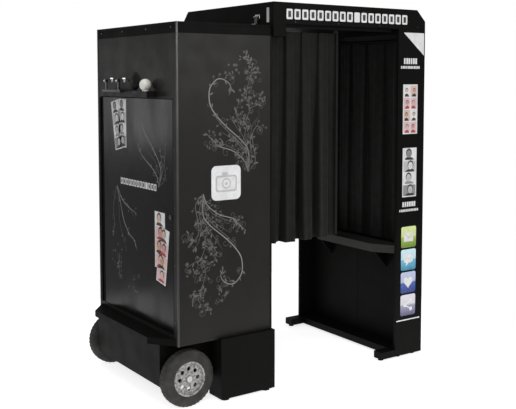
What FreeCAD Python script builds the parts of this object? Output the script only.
# A walk-in photo booth: an equipment tower on two wheels, a narrow end unit with a
# folding perch seat, and a canopy with draw curtains between them.
# Millimetres. +Z is up, +X runs from the tower to the end unit, the front is -Y.
# The origin is on the floor, under the middle of the bounding box.
import FreeCAD
import Part
import math
import os

Vector = FreeCAD.Vector

# Overall sizes
overall_length = 1830.0
tower_width = 588.0
tower_depth = 945.0
tower_height = 2000.0
plinth_overhang = 32.5
canopy_overhang = 17.5
canopy_rise = 126.0
end_width = 219.0

# Boards and clearances
board = 18.0
thin_board = 6.0
sheet = 2.0
running = 0.05
seat_gap = 0.3
glide_gap = 0.5
reveal = 3.0

# Plinth, wheels and feet
bumper_reach = 104.0
lip_thickness = 35.0
lip_inset = 20.0
lip_corner = 127.0
floor_gap = 12.0
chassis_inset = 125.0
chassis_below_axle = 46.0
axle_box_reach = 60.0
wheel_clearance = 29.0
skirt_lap = 7.0
arch_gap = 24.0
wheel_radius = 151.0
wheel_width = 65.0
wheel_inset = 30.0
tyre_shoulder = 16.0
hub_radius = 92.0
hub_rim = 9.0
hub_boss_radius = 24.0
hub_web = 10.0
spoke_count = 8
hub_hole_radius = 11.0
axle_radius = 10.0
axle_collar_radius = 16.0
axle_setback = 66.0
foot_radius = 24.0
pad_radius = 16.0

# Tower shell
cap_height = 57.0
trim_leg = 9.0
upper_panel_height = 307.0
upper_panel_lap = 30.0
door_side_margin = 45.0
door_rise = 57.0
hinge_pin_radius = 2.0
hinge_knuckle_radius = 5.0
hinge_leaf_width = 22.0
hinge_knuckles = 9
lock_radius = 9.0
lock_inset = 26.0
cam_length = 44.0

# Fittings on the tower's outer face
ledge_depth = 28.0
ledge_thickness = 33.0
ledge_gap = 7.0
ledge_from = -262.0
ledge_to = 393.0
lamp_y = -205.0
lamp_radius = 32.0
lamp_neck_radius = 18.0
lamp_base_width = 112.0
dome_y = -14.0
dome_radius = 51.0
dome_rise = 24.0
dome_above_ledge = 53.0
pivot_above_ledge = 54.0
handle_drop = 56.0
handle_standoff = 42.0
handle_arm_y = (120.0, 278.0)
handle_grip_from = 78.0
handle_grip_to = 313.0
grip_radius = 9.0
pivot_radius = 5.0
lug_width = 12.0
badge_size = 182.0
badge_setback = 293.0
badge_below_cap = 778.0

# Fittings on the tower's inner face and inside it
printer_below_chute = 105.0
camera_below_window = 95.0
camera_shelf_depth = 300.0
window_width = 190.0
window_height = 120.0
window_below_cap = 558.0
monitor_width = 430.0
monitor_height = 270.0
monitor_depth = 38.0
monitor_spacing = 255.0
light_width = 130.0
light_height = 620.0
light_depth = 40.0
light_inset = 127.5
light_below_window = 95.0
button_spacing = 200.0
button_radius = 25.0
button_stem_radius = 12.0
button_travel = 4.0
chute_width = 190.0
chute_height = 106.0
chute_spacing = 185.0
chute_depth = 70.0
flap_pin_radius = 2.5
camera_width = 130.0
camera_height = 95.0
camera_body_depth = 75.0
lens_radius = 33.0
lens_length = 62.0
fan_size = 120.0
fan_depth = 25.0
fan_below_cap = 163.0
fan_bore = 56.0
blade_count = 7
inlet_rise = 91.0
inlet_setback = 150.0
switch_offset = 60.0

# Canopy and curtains
post = 50.0
post_length = 84.0
header_lap = 9.0
header_drop = 69.0
canopy_chamfer = 68.0
rail_width = 24.0
rail_height = 18.0
rail_slot = 8.0
rail_inset = 4.0
carrier_length = 34.0
curtain_hem = 800.0
curtain_thickness = 20.0
leading_bar = 14.0
curtain_drawn = 480.0
latch_inset = 132.5

# End unit
outrigger_reach = 112.0
outrigger_width = 70.0
runner_height = 54.0
runner_overhang = 8.0
seat_top = 677.0
seat_thickness = 50.0
seat_depth = 148.0
seat_corner_x = 135.0
seat_corner_y = 200.0
seat_pin_radius = 6.0
kick_setback = 99.0
gusset_y = 270.0
rod_radius = 8.0
rod_below_header = 59.0
rod_setback = 42.0
backdrop_thickness = 18.0

# Stations along the length
x_outer = -overall_length / 2 + bumper_reach
x_inner = x_outer + tower_width
x_end = overall_length / 2
x_stile = x_end - end_width
x_back = x_end - board
x_axle = x_outer + axle_setback
x_kick = x_end - kick_setback
x_rod = x_end - rod_setback
x_face = x_inner - board
x_inlet = x_outer + inlet_setback
x_switch = x_inlet + switch_offset
x_fan = x_outer + tower_width / 2
x_hinge = x_outer - hinge_knuckle_radius - 1.0
x_lamp = x_outer - lamp_radius - 6.0
x_handle = x_outer - handle_standoff
x_latch = x_inner - 10.0
x_flap = x_inner + 9.0
x_camera = x_face - lens_length - camera_body_depth / 2 - 18.0
x_curtain = x_inner + board + 4.0
x_leader = x_curtain + curtain_drawn
x_seat_pin = x_stile + seat_depth - 8.0
arch_length = axle_setback + wheel_radius + arch_gap

# Stations across the depth
y_tower = tower_depth / 2
y_inside = y_tower - board
y_plinth = y_tower + plinth_overhang
y_chassis = y_plinth - chassis_inset
y_canopy = y_tower + canopy_overhang
y_stile = y_canopy - board
y_hub_face = y_plinth - wheel_inset
y_wheel = y_hub_face - wheel_width / 2
y_door = y_tower - door_side_margin
y_hinge = y_door + reveal / 2
y_rail = y_canopy - post - rail_inset - rail_width / 2
light_y = y_tower - light_inset
latch_y = latch_inset - y_tower

# Stations up the height
plinth_top = 2 * wheel_radius + wheel_clearance
skirt_top = plinth_top + skirt_lap
chassis_bottom = wheel_radius - chassis_below_axle
z_floor = plinth_top + board
panel_top = tower_height - cap_height
canopy_top = tower_height + canopy_rise
header_bottom = tower_height + header_lap
upper_panel_bottom = panel_top - upper_panel_height
door_top = upper_panel_bottom - upper_panel_lap
door_bottom = plinth_top + door_rise
lock_height = (door_bottom + door_top) / 2
ledge_low = door_top + ledge_gap
ledge_high = ledge_low + ledge_thickness
dome_height = ledge_high + dome_above_ledge
handle_pivot_height = ledge_high + pivot_above_ledge
badge_height = panel_top - badge_below_cap
window_centre = panel_top - window_below_cap
camera_shelf_height = window_centre - camera_below_window
light_centre = window_centre - light_below_window
monitor_centre = window_centre - monitor_spacing
button_height = monitor_centre - button_spacing
chute_centre = button_height - chute_spacing
printer_shelf_height = chute_centre - printer_below_chute
fan_height = panel_top - fan_below_cap
inlet_height = z_floor + inlet_rise
z_latch = header_bottom + 40.0
z_flap = chute_centre + chute_height / 2 + 10.0
z_seat_under = seat_top - seat_thickness
z_seat_pin = seat_top - 8.0
z_rail = header_bottom - rail_height
rod_height = header_bottom - rod_below_header


def box(x0, x1, y0, y1, z0, z1):
    return Part.makeBox(x1 - x0, y1 - y0, z1 - z0, Vector(x0, y0, z0))


def rod(radius, start, end):
    axis = end.sub(start)
    return Part.makeCylinder(radius, axis.Length, start, axis)


def rod_y(radius, x, z, y0, y1):
    return rod(radius, Vector(x, y0, z), Vector(x, y1, z))


def rod_x(radius, y, z, x0, x1):
    return rod(radius, Vector(x0, y, z), Vector(x1, y, z))


def rod_z(radius, x, y, z0, z1):
    return rod(radius, Vector(x, y, z0), Vector(x, y, z1))


def prism(points, direction):
    outline = Part.makePolygon(points + points[:1])
    return Part.Face(outline).extrude(direction)


def join(shapes):
    first = shapes[0]
    if len(shapes) == 1:
        return first
    return first.fuse(shapes[1:]).removeSplitter()


def mirror_y(shape):
    return shape.mirror(Vector(0, 0, 0), Vector(0, 1, 0))


def both_sides(shape):
    return [shape, mirror_y(shape)]


# Plinth -------------------------------------------------------------------

def chassis():
    x0 = x_outer - axle_box_reach
    shell = box(x0, x_inner, -y_chassis, y_chassis, chassis_bottom, plinth_top)
    hollow = box(x0 + board, x_face, board - y_chassis, y_chassis - board,
                 chassis_bottom + board, plinth_top)
    bore = rod_y(axle_radius + running, x_axle, wheel_radius, -y_chassis, y_chassis)
    return [shell.cut(hollow).cut(bore)]


def skirts():
    x0 = x_outer + arch_length
    face = box(x0, x_inner, y_plinth - board, y_plinth, floor_gap, skirt_top)
    ledge = box(x0, x_inner, y_tower, y_plinth - board, plinth_top - board, skirt_top)
    near = box(x0, x0 + board, y_chassis, y_plinth - board, floor_gap, plinth_top)
    far = box(x_face, x_inner, y_chassis, y_plinth - board, floor_gap, plinth_top)
    deck = box(x0, x_inner, y_chassis, y_tower, plinth_top - board, plinth_top)
    return both_sides(join([face, ledge, near, far, deck]))


def fender_lip():
    x0 = x_outer - bumper_reach
    y1 = y_tower - lip_inset
    y0 = y1 - lip_corner
    points = [Vector(x_outer, -y1, plinth_top), Vector(x_outer, y1, plinth_top),
              Vector(x0, y0, plinth_top), Vector(x0, -y0, plinth_top)]
    return [prism(points, Vector(0, 0, lip_thickness))]


def axle():
    cap_inner = y_hub_face - hub_rim
    bar = rod_y(axle_radius, x_axle, wheel_radius, -cap_inner, cap_inner)
    collar = rod_y(axle_collar_radius, x_axle, wheel_radius, y_chassis, y_hub_face - wheel_width)
    cap = rod_y(axle_collar_radius, x_axle, wheel_radius, cap_inner, y_hub_face - 1.0)
    return [join([bar, collar, mirror_y(collar), cap, mirror_y(cap)])]


def tyre():
    half = wheel_width / 2
    edge = wheel_radius - tyre_shoulder
    diagonal = tyre_shoulder * math.sin(math.pi / 4)
    corner = Vector(0, half - tyre_shoulder, edge)
    top_mid = corner.add(Vector(0, diagonal, diagonal))
    side = Vector(0, half, edge)
    top = Vector(0, half - tyre_shoulder, wheel_radius)
    low_mid = Vector(0, -top_mid.y, top_mid.z)
    edges = [
        Part.makeLine(Vector(0, -half, hub_radius), Vector(0, half, hub_radius)),
        Part.makeLine(Vector(0, half, hub_radius), side),
        Part.Arc(side, top_mid, top).toShape(),
        Part.makeLine(top, Vector(0, -top.y, top.z)),
        Part.Arc(Vector(0, -top.y, top.z), low_mid, Vector(0, -half, edge)).toShape(),
        Part.makeLine(Vector(0, -half, edge), Vector(0, -half, hub_radius)),
    ]
    face = Part.Face(Part.Wire(edges))
    ring = face.revolve(Vector(0, 0, 0), Vector(0, 1, 0), 360)
    return ring


def hub():
    half = wheel_width / 2
    outer = hub_radius - seat_gap
    rim = rod_y(outer, 0, 0, -half, half).cut(rod_y(outer - hub_rim, 0, 0, -half, half))
    web = rod_y(outer - hub_rim / 2, 0, 0, half - 2 * hub_web, half - hub_web)
    boss = rod_y(hub_boss_radius, 0, 0, seat_gap - half, half - hub_rim - seat_gap)
    middle = (outer - hub_rim + hub_boss_radius) / 2
    for index in range(spoke_count):
        angle = 2 * math.pi * index / spoke_count
        pocket = rod_y(hub_hole_radius, middle * math.cos(angle), middle * math.sin(angle),
                       -half, half)
        web = web.cut(pocket)
    bore = rod_y(axle_radius + running, 0, 0, -half, half)
    return join([rim, web, boss]).cut(bore)


def front_wheel_part(shape):
    moved = mirror_y(shape)
    moved.translate(Vector(x_axle, -y_wheel, wheel_radius))
    return [moved]


def rear_wheel_part(shape):
    moved = shape.copy()
    moved.translate(Vector(x_axle, y_wheel, wheel_radius))
    return [moved]


def levelling_feet():
    feet = []
    inset = foot_radius + board
    y_foot = y_plinth - board / 2 - foot_radius
    for x in (x_outer + arch_length + inset, x_inner - inset):
        feet += both_sides(rod_z(foot_radius, x, y_foot, 0, floor_gap + board))
    plugs = []
    for foot in feet:
        plugs.append(foot.cut(skirts()[0]).cut(skirts()[1]))
    y_pad = y_canopy - outrigger_width / 2
    for x in (x_stile - outrigger_reach + 1.5 * pad_radius, x_stile + 3 * pad_radius,
              x_back - 2 * pad_radius):
        plugs += both_sides(rod_z(pad_radius, x, y_pad, 0, floor_gap))
    return plugs


# Tower shell --------------------------------------------------------------

def tower_shelves():
    floor = box(x_outer, x_inner, -y_inside, y_inside, plinth_top, z_floor)
    lower = box(x_outer + 3 * board, x_face, -y_inside, y_inside,
                printer_shelf_height - board, printer_shelf_height)
    upper = box(x_face - camera_shelf_depth, x_face, -y_inside, y_inside,
                camera_shelf_height - board, camera_shelf_height)
    return [floor, lower, upper]


def side_front():
    return [box(x_outer, x_inner, -y_tower, -y_inside, plinth_top, panel_top)]


def side_rear():
    panel = box(x_outer, x_inner, y_inside, y_tower, plinth_top, panel_top)
    vent = rod_y(fan_bore, x_outer + tower_width / 2, fan_height, y_inside, y_tower)
    inlet = box(x_inlet - 25, x_inlet + 25, y_inside, y_tower, inlet_height - 16,
                inlet_height + 16)
    switch = box(x_switch - 11, x_switch + 11, y_inside, y_tower, inlet_height - 16,
                 inlet_height + 16)
    return [panel.cut(vent).cut(inlet).cut(switch)]


def top_cap():
    rim_top = tower_height - board
    lid = box(x_outer, x_inner, -y_tower, y_tower, rim_top, tower_height)
    side = box(x_outer, x_inner, y_inside, y_tower, panel_top, rim_top)
    outer = box(x_outer, x_outer + board, -y_inside, y_inside, panel_top, rim_top)
    inner = box(x_face, x_inner, -y_inside, y_inside, panel_top, rim_top)
    return [lid, outer, inner] + both_sides(side)


def corner_trims():
    trims = []
    angle = join([
        box(x_outer - sheet, x_outer - sheet + trim_leg, y_tower, y_tower + sheet,
            plinth_top, tower_height),
        box(x_outer - sheet, x_outer, y_tower - trim_leg, y_tower + sheet,
            plinth_top, tower_height)])
    trims += both_sides(angle)
    strip = box(x_inner - trim_leg, x_inner, y_tower, y_tower + sheet, skirt_top,
                panel_top)
    trims += both_sides(strip)
    return trims


def outer_frame():
    upper = box(x_outer, x_outer + board, -y_inside, y_inside, upper_panel_bottom, panel_top)
    head = box(x_outer, x_outer + board, -y_inside, y_inside, door_top + reveal,
               upper_panel_bottom)
    sill = box(x_outer, x_outer + board, -y_inside, y_inside, z_floor, door_bottom - reveal)
    stile = box(x_outer, x_outer + board, y_door + reveal, y_inside, door_bottom - reveal,
                door_top + reveal)
    return [upper, head, sill] + both_sides(stile)


def service_door():
    leaf = box(x_outer, x_outer + board, -y_door, y_door, door_bottom, door_top)
    bore = rod_x(lock_radius + running, lock_inset - y_door, lock_height, x_outer,
                 x_outer + board)
    return [leaf.cut(bore)]


def hinge_bands(remainder):
    height = (door_top - door_bottom) / hinge_knuckles
    bands = []
    for index in range(hinge_knuckles):
        if index % 2 == remainder:
            low = door_bottom + index * height
            bands.append((low + 0.5, low + height - 0.5))
    return bands


def hinge_leaf(side, bands):
    reach = hinge_knuckle_radius + 1.0
    plate_from = y_hinge + side * reach
    plate_to = y_hinge + side * hinge_leaf_width
    solids = [box(x_outer - sheet, x_outer, min(plate_from, plate_to),
                  max(plate_from, plate_to), door_bottom, door_top)]
    for low, high in bands:
        knuckle = rod_z(hinge_knuckle_radius, x_hinge, y_hinge, low, high)
        solids.append(knuckle)
        solids.append(box(x_outer - sheet, x_outer, min(y_hinge, plate_from),
                          max(y_hinge, plate_from), low, high))
    return join(solids)


def door_hinge_fixed():
    leaf = hinge_leaf(1.0, hinge_bands(0))
    pin = rod_z(hinge_pin_radius, x_hinge, y_hinge, door_bottom, door_top)
    return [join([leaf, pin])]


def door_hinge_leaf():
    leaf = hinge_leaf(-1.0, hinge_bands(1))
    bore = rod_z(hinge_pin_radius + running, x_hinge, y_hinge, door_bottom, door_top)
    return [leaf.cut(bore)]


def lock_cam():
    y = lock_inset - y_door
    back = x_outer + board + 1.0
    plug = rod_x(lock_radius, y, lock_height, x_outer - 1.0, back)
    head = rod_x(lock_radius + 4.0, y, lock_height, x_outer - 4.0, x_outer - 1.0)
    key_slot = box(x_outer - 4.0, x_outer - 1.0, y - 1.0, y + 1.0, lock_height - 4.0,
                   lock_height + 4.0)
    cam = box(back, back + 3.0, y - cam_length, y + lock_radius, lock_height - lock_radius,
              lock_height + lock_radius)
    return [join([plug, head, cam]).cut(key_slot)]


# Fittings on the tower's outer face ---------------------------------------

def ledge():
    shelf = box(x_outer - ledge_depth, x_outer, ledge_from, ledge_to, ledge_low, ledge_high)
    half = lamp_base_width / 2
    lamp_base = box(x_lamp - lamp_neck_radius - 4.0, x_outer, lamp_y - half, lamp_y + half,
                    ledge_low, ledge_high)
    return [join([shelf, lamp_base])]


def lamp_lens():
    globe_z = ledge_high + lamp_radius + 1.0
    globe = Part.makeSphere(lamp_radius, Vector(x_lamp, lamp_y, globe_z))
    neck = rod_z(lamp_neck_radius, x_lamp, lamp_y, ledge_high, globe_z)
    return [join([globe, neck])]


def dome_cover():
    ball_radius = (dome_radius ** 2 + dome_rise ** 2) / (2 * dome_rise)
    centre = Vector(x_outer - dome_rise + ball_radius, dome_y, dome_height)
    ball = Part.makeSphere(ball_radius, centre)
    outside = box(x_outer - dome_rise, x_outer, dome_y - dome_radius,
                  dome_y + dome_radius, dome_height - dome_radius, dome_height + dome_radius)
    return [ball.common(outside)]


def handle_lug(y):
    half = lug_width / 2
    plate = box(x_outer - 4.0, x_outer, y - 18.0, y + 18.0, handle_pivot_height - 8.0,
                handle_pivot_height + 16.0)
    lug = box(x_handle, x_outer, y - half, y + half, handle_pivot_height - 10.0,
              handle_pivot_height + 10.0)
    eye = rod_y(10.0, x_handle, handle_pivot_height, y - half, y + half)
    bore = rod_y(pivot_radius + running, x_handle, handle_pivot_height, y - half, y + half)
    return join([plate, lug, eye]).cut(bore)


def latch_base():
    plate = box(x_inner - 3.0, x_inner, latch_y - 22.0, latch_y + 22.0,
                z_latch - 14.0, z_latch + 14.0)
    solids = [plate]
    for side in (-1.0, 1.0):
        low = latch_y + side * 18.0 - 2.0
        solids.append(box(x_latch, x_inner, low, low + 4.0, z_latch - 6.0,
                          z_latch + 6.0))
        solids.append(rod_y(6.0, x_latch, z_latch, low, low + 4.0))
    base = join(solids)
    bore = rod_y(3.0 + running, x_latch, z_latch, latch_y - 30.0, latch_y + 30.0)
    return base.cut(bore)


def chrome_brackets():
    keeper = join([
        box(x_inner - 30.0, x_inner - 1.0, latch_y - 18.0, latch_y + 18.0, tower_height,
            tower_height + 3.0),
        box(x_inner - 30.0, x_inner - 26.0, latch_y - 18.0, latch_y + 18.0, tower_height,
            tower_height + 12.0)])
    corner = box(x_inner - 3.0, x_inner, -y_tower + 20.0, -y_tower + 44.0,
                 header_bottom + 8.0, canopy_top - 30.0)
    lugs = [handle_lug(y) for y in handle_arm_y]
    return lugs + [latch_base(), keeper, corner]


def handle_bail():
    grip_z = handle_pivot_height - handle_drop
    solids = [rod_y(grip_radius, x_handle, grip_z, handle_grip_from, handle_grip_to)]
    for y in handle_arm_y:
        start = y - lug_width / 2 - seat_gap
        solids.append(rod_y(9.0, x_handle, handle_pivot_height, start - 10.0, start))
        solids.append(rod_y(pivot_radius, x_handle, handle_pivot_height, start - 10.0,
                            y + lug_width / 2))
        solids.append(box(x_handle - 4.0, x_handle + 4.0, start - 10.0, start, grip_z,
                          handle_pivot_height))
    return [join(solids)]


def latch_lever():
    reach = 36.0
    barrel = rod_y(5.0, x_latch, z_latch, latch_y - 15.7, latch_y + 15.7)
    pin = rod_y(3.0, x_latch, z_latch, latch_y - 20.0, latch_y + 20.0)
    blade = box(x_latch - 4.0, x_latch - 1.0, latch_y - 12.0, latch_y + 12.0,
                z_latch - reach, z_latch)
    return [join([barrel, pin, blade])]


def badge_plaque():
    half = badge_size / 2
    x = x_outer + badge_setback
    plate = box(x - half, x + half, -y_tower - 3.0, -y_tower, badge_height - half,
                badge_height + half)
    upright = [edge for edge in plate.Edges
               if abs(edge.BoundBox.YLength - 3.0) < 0.01 and edge.Length < 4.0]
    return [plate.makeFillet(badge_size * 0.16, upright)]


# Tower's inner face and equipment -----------------------------------------

def inner_fascia():
    panel = box(x_face, x_inner, -y_inside, y_inside, z_floor, panel_top)
    window = box(x_face, x_inner, -window_width / 2 + 8, window_width / 2 - 8,
                 window_centre - window_height / 2 + 8, window_centre + window_height / 2 - 8)
    slot = box(x_face, x_inner, -chute_width / 2, chute_width / 2,
               chute_centre - chute_height / 2, chute_centre + chute_height / 2)
    stem = rod_x(button_stem_radius + running, 0, button_height, x_face, x_inner)
    return [panel.cut(window).cut(slot).cut(stem)]


def camera_window():
    return [box(x_inner, x_inner + 4.0, -window_width / 2, window_width / 2,
                window_centre - window_height / 2, window_centre + window_height / 2)]


def monitor_housing():
    half_y = monitor_width / 2
    half_z = monitor_height / 2
    return [box(x_inner, x_inner + monitor_depth, -half_y, half_y,
                monitor_centre - half_z, monitor_centre + half_z)]


def monitor_glass():
    half_y = monitor_width / 2 - 12.0
    half_z = monitor_height / 2 - 12.0
    front = x_inner + monitor_depth
    return [box(front, front + 3.0, -half_y, half_y, monitor_centre - half_z,
                monitor_centre + half_z)]


def light_box():
    half_y = light_width / 2
    half_z = light_height / 2
    outer = box(x_inner, x_inner + light_depth, light_y - half_y, light_y + half_y,
                light_centre - half_z, light_centre + half_z)
    hollow = box(x_inner + sheet, x_inner + light_depth, light_y - half_y + sheet,
                 light_y + half_y - sheet, light_centre - half_z + sheet,
                 light_centre + half_z - sheet)
    return outer.cut(hollow)


def light_diffuser():
    half_y = light_width / 2 - sheet - seat_gap
    half_z = light_height / 2 - sheet - seat_gap
    front = x_inner + light_depth
    return box(front - 4.0, front, light_y - half_y, light_y + half_y,
               light_centre - half_z, light_centre + half_z)


def start_button():
    head = rod_x(button_radius, 0, button_height, x_inner + button_travel + 1.0,
                 x_inner + button_travel + 13.0)
    stem = rod_x(button_stem_radius, 0, button_height, x_face, x_inner + button_travel + 2.0)
    return [join([head, stem])]


def delivery_chute():
    half_y = chute_width / 2
    half_z = chute_height / 2
    flange = box(x_inner, x_inner + 3.0, -half_y - 20, half_y + 20, chute_centre - half_z - 20,
                 chute_centre + half_z + 22)
    tray = box(x_face - chute_depth, x_inner, -half_y, half_y, chute_centre - half_z,
               chute_centre + half_z)
    throat = box(x_face - chute_depth, x_inner + 3.0, -half_y + sheet, half_y - sheet,
                 chute_centre - half_z + sheet, chute_centre + half_z - sheet)
    ears = []
    for side in (-1.0, 1.0):
        low = side * (half_y + 7.0) - 3.0
        ears.append(box(x_inner + 3.0, x_flap + 5.0, low, low + 6.0, z_flap - 5.0,
                        z_flap + 5.0))
    bore = rod_y(flap_pin_radius + running, x_flap, z_flap, -half_y - 20,
                 half_y + 20)
    body = join([flange, tray] + ears)
    return [body.cut(throat).cut(bore)]


def delivery_flap():
    half_y = chute_width / 2
    barrel = rod_y(4.0, x_flap, z_flap, 1.0 - half_y, half_y - 1.0)
    pin = rod_y(flap_pin_radius, x_flap, z_flap, -half_y - 9.0, half_y + 9.0)
    plate = box(x_flap - 1.5, x_flap + 1.5, 2.0 - half_y, half_y - 2.0,
                chute_centre - chute_height / 2, z_flap)
    return [join([barrel, pin, plate])]


camera_half = camera_width / 2


def camera_bracket():
    z0 = camera_shelf_height
    ear_in = camera_half + seat_gap + 2.0
    ear = box(x_camera - 22.0, x_camera + 22.0, ear_in, ear_in + 4.0, z0,
              window_centre + 14.0)
    base = box(x_camera - 40.0, x_camera + 40.0, -ear_in - 4.0, ear_in + 4.0, z0, z0 + 4.0)
    bore = rod_y(pivot_radius + running, x_camera, window_centre, -ear_in - 4.0, ear_in + 4.0)
    return [join([base, ear, mirror_y(ear)]).cut(bore)]


def camera():
    half_x = camera_body_depth / 2
    half_z = camera_height / 2
    ear_out = camera_half + seat_gap + 6.0
    body = box(x_camera - half_x, x_camera + half_x, -camera_half, camera_half,
               window_centre - half_z, window_centre + half_z)
    lens = rod_x(lens_radius, 0, window_centre, x_camera + half_x, x_camera + half_x
                 + lens_length)
    glass = rod_x(lens_radius - 6.0, 0, window_centre, x_camera + half_x + lens_length - 4.0,
                  x_camera + half_x + lens_length)
    pivots = rod_y(pivot_radius, x_camera, window_centre, -ear_out, ear_out)
    return [join([body, lens, pivots]).cut(glass)]


def computer():
    x1 = x_face - 60.0
    case = box(x1 - 400.0, x1, -90.0, 90.0, z_floor, z_floor + 250.0)
    return [case]


def printer():
    x1 = x_face - chute_depth - 6.0
    z0 = printer_shelf_height
    case = box(x1 - 366.0, x1, -140.0, 140.0, z0, z0 + 170.0)
    slot = box(x1 - 30.0, x1, -80.0, 80.0, z0 + 95.0, z0 + 103.0)
    return [case.cut(slot)]


def fan_frame():
    half = fan_size / 2
    y1 = y_inside
    y0 = y1 - fan_depth
    frame = box(x_fan - half, x_fan + half, y0, y1, fan_height - half, fan_height + half)
    frame = frame.cut(rod_y(fan_bore, x_fan, fan_height, y0, y1))
    motor = rod_y(20.0, x_fan, fan_height, y0, y0 + 4.0)
    struts = [motor]
    for x_way, z_way in ((1, 1), (1, -1), (-1, 1), (-1, -1)):
        reach = fan_bore + 8.0
        strut = box(0, reach, 0, 3.0, -2.0, 2.0)
        strut.rotate(Vector(0, 0, 0), Vector(0, 1, 0), -math.degrees(math.atan2(z_way, x_way)))
        strut.translate(Vector(x_fan, y0, fan_height))
        struts.append(strut)
    shaft = rod_y(3.0, x_fan, fan_height, y0, y1 - 6.0)
    grille = []
    for radius in (18.0, 34.0, 50.0):
        ring = Part.makeTorus(radius, 1.5, Vector(x_fan, y_tower + 1.5, fan_height),
                              Vector(0, 1, 0))
        grille.append(ring)
    for x_way, z_way in ((1, 0), (0, 1)):
        reach = fan_bore + 5.0
        x_half = x_way * reach + 1.5
        z_half = z_way * reach + 1.5
        grille.append(box(x_fan - x_half, x_fan + x_half, y_tower, y_tower + 3.0,
                          fan_height - z_half, fan_height + z_half))
    return [join([frame, shaft] + struts), join(grille)]


def fan_rotor():
    y0 = y_inside - fan_depth + 4.0 + seat_gap
    y1 = y_inside - 3.0
    core = rod_y(20.0, x_fan, fan_height, y0, y1)
    blades = [core]
    for index in range(blade_count):
        blade = box(-1.2, 1.2, y0 + 2.0, y1 - 2.0, 15.0, fan_bore - 3.0)
        blade.rotate(Vector(0, (y0 + y1) / 2, 35.0), Vector(0, 0, 1), 28.0)
        blade.rotate(Vector(0, 0, 0), Vector(0, 1, 0), 360.0 * index / blade_count)
        blade.translate(Vector(x_fan, 0, fan_height))
        blades.append(blade)
    rotor = join(blades)
    bore = rod_y(3.0 + running, x_fan, fan_height, y0, y_inside - 6.0 + seat_gap)
    return [rotor.cut(bore)]


def power_inlet():
    clear = seat_gap
    block = box(x_inlet - 25 + clear, x_inlet + 25 - clear, y_inside - 8.0, y_tower,
                inlet_height - 16 + clear, inlet_height + 16 - clear)
    flange = box(x_inlet - 29, x_inlet + 29, y_tower, y_tower + sheet, inlet_height - 20,
                 inlet_height + 20)
    well = box(x_inlet - 12, x_inlet + 12, y_tower - 16.0, y_tower + sheet,
               inlet_height - 8, inlet_height + 8)
    return [join([block, flange]).cut(well)]


def mains_switch():
    clear = seat_gap + 0.7
    paddle = box(x_switch - 11 + clear, x_switch + 11 - clear, y_tower - 6.0, y_tower + 4.0,
                 inlet_height - 16 + 3.0, inlet_height + 16 - 3.0)
    pivot = rod_x(1.5, y_tower - 4.0, inlet_height, x_switch - 11 + seat_gap,
                  x_switch + 11 - seat_gap)
    return [join([paddle, pivot])]


# Canopy and curtains ------------------------------------------------------

def header_board(y0, y1, near_chamfer):
    cut = canopy_chamfer
    x0 = x_inner + post_length
    points = [Vector(x0, y0, header_bottom), Vector(x_end, y0, header_bottom),
              Vector(x_end, y0, canopy_top - cut), Vector(x_end - cut, y0, canopy_top)]
    if near_chamfer:
        points += [Vector(x0 + cut, y0, canopy_top), Vector(x0, y0, canopy_top - cut)]
    else:
        points += [Vector(x0, y0, canopy_top)]
    return prism(points, Vector(0, y1 - y0, 0))


def header_front():
    return [header_board(-y_canopy, -y_stile, False)]


def header_rear():
    return [header_board(y_stile, y_canopy, True)]


def header_inner():
    low = header_bottom - header_drop
    cut = canopy_chamfer
    y_post = y_canopy - post
    cross = box(x_inner, x_inner + board, -y_post, y_post, low, canopy_top)
    front_post = box(x_inner, x_inner + post_length, -y_canopy, -y_post, low, canopy_top)
    points = [Vector(x_inner, y_post, low), Vector(x_inner, y_canopy, low),
              Vector(x_inner, y_canopy, canopy_top - cut),
              Vector(x_inner, y_post, canopy_top - cut + post)]
    rear_post = prism(points, Vector(post_length, 0, 0))
    wedge = prism([Vector(x_inner, y_post, canopy_top), Vector(x_inner, y_post,
                  canopy_top - cut + post), Vector(x_inner, y_post + post - cut, canopy_top)],
                  Vector(board, 0, 0))
    return [cross.cut(wedge), front_post, rear_post]


def roof_panel():
    wide = box(x_inner + post_length, x_back, -y_stile, y_stile, header_bottom,
               header_bottom + thin_board)
    tongue = box(x_inner + board, x_inner + post_length, post - y_canopy, y_canopy - post,
                 header_bottom, header_bottom + thin_board)
    return [join([wide, tongue])]


def curtain_track():
    half = rail_width / 2
    x0 = x_inner + board + sheet
    x1 = x_stile - seat_gap
    outer = box(x0, x1, y_rail - half, y_rail + half, z_rail, header_bottom)
    hollow = box(x0, x1, y_rail - half + sheet, y_rail + half - sheet, z_rail + sheet,
                 header_bottom - sheet)
    slot = box(x0, x1, y_rail - rail_slot / 2, y_rail + rail_slot / 2, z_rail,
               z_rail + sheet)
    return outer.cut(hollow).cut(slot)


def curtain_rails():
    bar = rod_y(rod_radius, x_rod, rod_height, -y_stile, y_stile)
    return both_sides(curtain_track()) + [bar]


def curtain_leader():
    half = rail_width / 2 - sheet - glide_gap
    low = z_rail + sheet + glide_gap
    high = header_bottom - sheet - glide_gap
    head = box(x_leader - carrier_length, x_leader, y_rail - half, y_rail + half, low, high)
    neck = box(x_leader - carrier_length + 8.0, x_leader - 8.0, y_rail - 2.5, y_rail + 2.5,
               z_rail - 12.0, low + 1.0)
    clamp = box(x_leader - leading_bar, x_leader, y_rail - 4.0, y_rail + 4.0,
                curtain_hem + 4.0, z_rail - 6.0)
    foot = box(x_leader - carrier_length, x_leader, y_rail - 4.0, y_rail + 4.0,
               z_rail - 20.0, z_rail - 6.0)
    return join([head, neck, clamp, foot])


def curtain():
    half = curtain_thickness / 2
    slab = box(x_curtain, x_leader - leading_bar - seat_gap, y_rail - half, y_rail + half,
               curtain_hem, z_rail - 20.0 - seat_gap)
    return slab


# End unit -----------------------------------------------------------------

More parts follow.
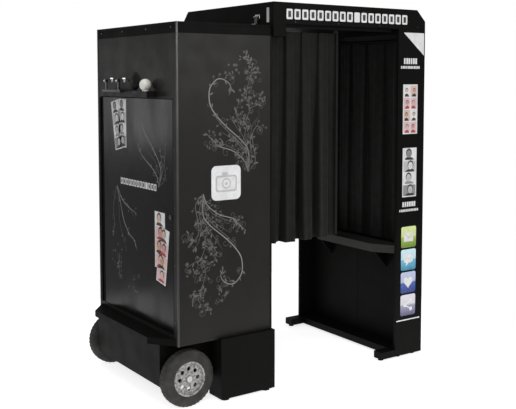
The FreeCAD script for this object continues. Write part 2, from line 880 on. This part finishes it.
def stile():
    panel = box(x_stile, x_end, y_stile, y_canopy, floor_gap, header_bottom)
    bore = rod_y(seat_pin_radius + running, x_seat_pin, z_seat_pin, y_stile, y_canopy - 4.0)
    return panel.cut(bore)


def end_back():
    cut = canopy_chamfer
    points = [Vector(x_back, -y_stile, floor_gap), Vector(x_back, y_stile, floor_gap),
              Vector(x_back, y_stile, canopy_top - cut),
              Vector(x_back, y_stile - cut, canopy_top),
              Vector(x_back, cut - y_stile, canopy_top),
              Vector(x_back, -y_stile, canopy_top - cut)]
    return [prism(points, Vector(board, 0, 0))]


def end_shelves():
    top = box(x_stile, x_back, -y_stile, y_stile, header_bottom - board, header_bottom)
    strip = box(x_stile + seat_depth + reveal, x_back, -y_stile, y_stile, z_seat_under,
                seat_top)
    return [top, strip]


def toe_runner():
    bar = box(x_stile - runner_overhang, x_back, -y_stile, y_stile, floor_gap, runner_height)
    arm = box(x_stile - outrigger_reach, x_stile, y_canopy - outrigger_width, y_canopy,
              floor_gap, runner_height)
    return [join([bar] + both_sides(arm))]


def seat_board():
    clear = 1.0
    y0 = y_stile - clear
    x1 = x_stile + seat_depth
    front = y0 - seat_corner_y
    points = [Vector(x_stile, -front, z_seat_under), Vector(x_stile, front, z_seat_under),
              Vector(x_stile + seat_corner_x, y0, z_seat_under), Vector(x1, y0, z_seat_under),
              Vector(x1, -y0, z_seat_under), Vector(x_stile + seat_corner_x, -y0,
                                                    z_seat_under)]
    slab = prism(points, Vector(0, 0, seat_thickness))
    back = [edge for edge in slab.Edges
            if edge.BoundBox.XMin > x1 - 0.01 and edge.Length > front]
    slab = slab.makeFillet(7.5, back)
    pin = rod_y(seat_pin_radius, x_seat_pin, z_seat_pin, y0 - 30.0, y_canopy - 5.0)
    return [join([slab, pin, mirror_y(pin)])]


def seat_supports():
    low = runner_height
    high = z_seat_under - seat_gap
    panels = [box(x_kick, x_kick + board, 1.0, y_stile, low, high)]
    points = [Vector(x_kick, gusset_y - board / 2, high), Vector(x_kick, gusset_y - board / 2,
              high - 110.0), Vector(x_stile + 16.0, gusset_y - board / 2, high)]
    panels.append(prism(points, Vector(0, board, 0)))
    return panels + [mirror_y(panel) for panel in panels]


def backdrop_curtain():
    half = backdrop_thickness / 2
    slab = box(x_rod - half, x_rod + half, 6.0 - y_stile, y_stile - 6.0, seat_top + 10.0,
               rod_height - rod_radius - seat_gap)
    return [slab]


wheel_tyre = tyre()
wheel_hub = hub()

nodes = {
    "chassis": chassis(),
    "skirts": skirts(),
    "fender_lip": fender_lip(),
    "axle": axle(),
    "tyre_front": front_wheel_part(wheel_tyre),
    "hub_front": front_wheel_part(wheel_hub),
    "tyre_rear": rear_wheel_part(wheel_tyre),
    "hub_rear": rear_wheel_part(wheel_hub),
    "floor_feet": levelling_feet(),
    "tower_shelves": tower_shelves(),
    "side_front": side_front(),
    "side_rear": side_rear(),
    "top_cap": top_cap(),
    "corner_trims": corner_trims(),
    "outer_frame": outer_frame(),
    "service_door": service_door(),
    "door_hinge_fixed": door_hinge_fixed(),
    "door_hinge_leaf": door_hinge_leaf(),
    "lock_cam": lock_cam(),
    "ledge": ledge(),
    "lamp_lens": lamp_lens(),
    "dome_cover": dome_cover(),
    "chrome_brackets": chrome_brackets(),
    "handle_bail": handle_bail(),
    "latch_lever": latch_lever(),
    "badge_plaque": badge_plaque(),
    "inner_fascia": inner_fascia(),
    "camera_window": camera_window(),
    "monitor_housing": monitor_housing(),
    "monitor_glass": monitor_glass(),
    "light_housings": both_sides(light_box()),
    "light_diffusers": both_sides(light_diffuser()),
    "start_button": start_button(),
    "delivery_chute": delivery_chute(),
    "delivery_flap": delivery_flap(),
    "camera_bracket": camera_bracket(),
    "camera": camera(),
    "computer": computer(),
    "printer": printer(),
    "fan_frame": fan_frame(),
    "fan_rotor": fan_rotor(),
    "power_inlet": power_inlet(),
    "mains_switch": mains_switch(),
    "header_front": header_front(),
    "header_rear": header_rear(),
    "header_inner": header_inner(),
    "roof_panel": roof_panel(),
    "curtain_rails": curtain_rails(),
    "leader_front": [mirror_y(curtain_leader())],
    "leader_rear": [curtain_leader()],
    "curtain_front": [mirror_y(curtain())],
    "curtain_rear": [curtain()],
    "stile_front": [mirror_y(stile())],
    "stile_rear": [stile()],
    "end_back": end_back(),
    "end_shelves": end_shelves(),
    "toe_runner": toe_runner(),
    "seat_board": seat_board(),
    "seat_supports": seat_supports(),
    "backdrop_curtain": backdrop_curtain(),
}

os.makedirs("parts", exist_ok=True)
for name, solids in nodes.items():
    shape = solids[0] if len(solids) == 1 else Part.makeCompound(solids)
    shape.exportStep("parts/" + name + ".step")
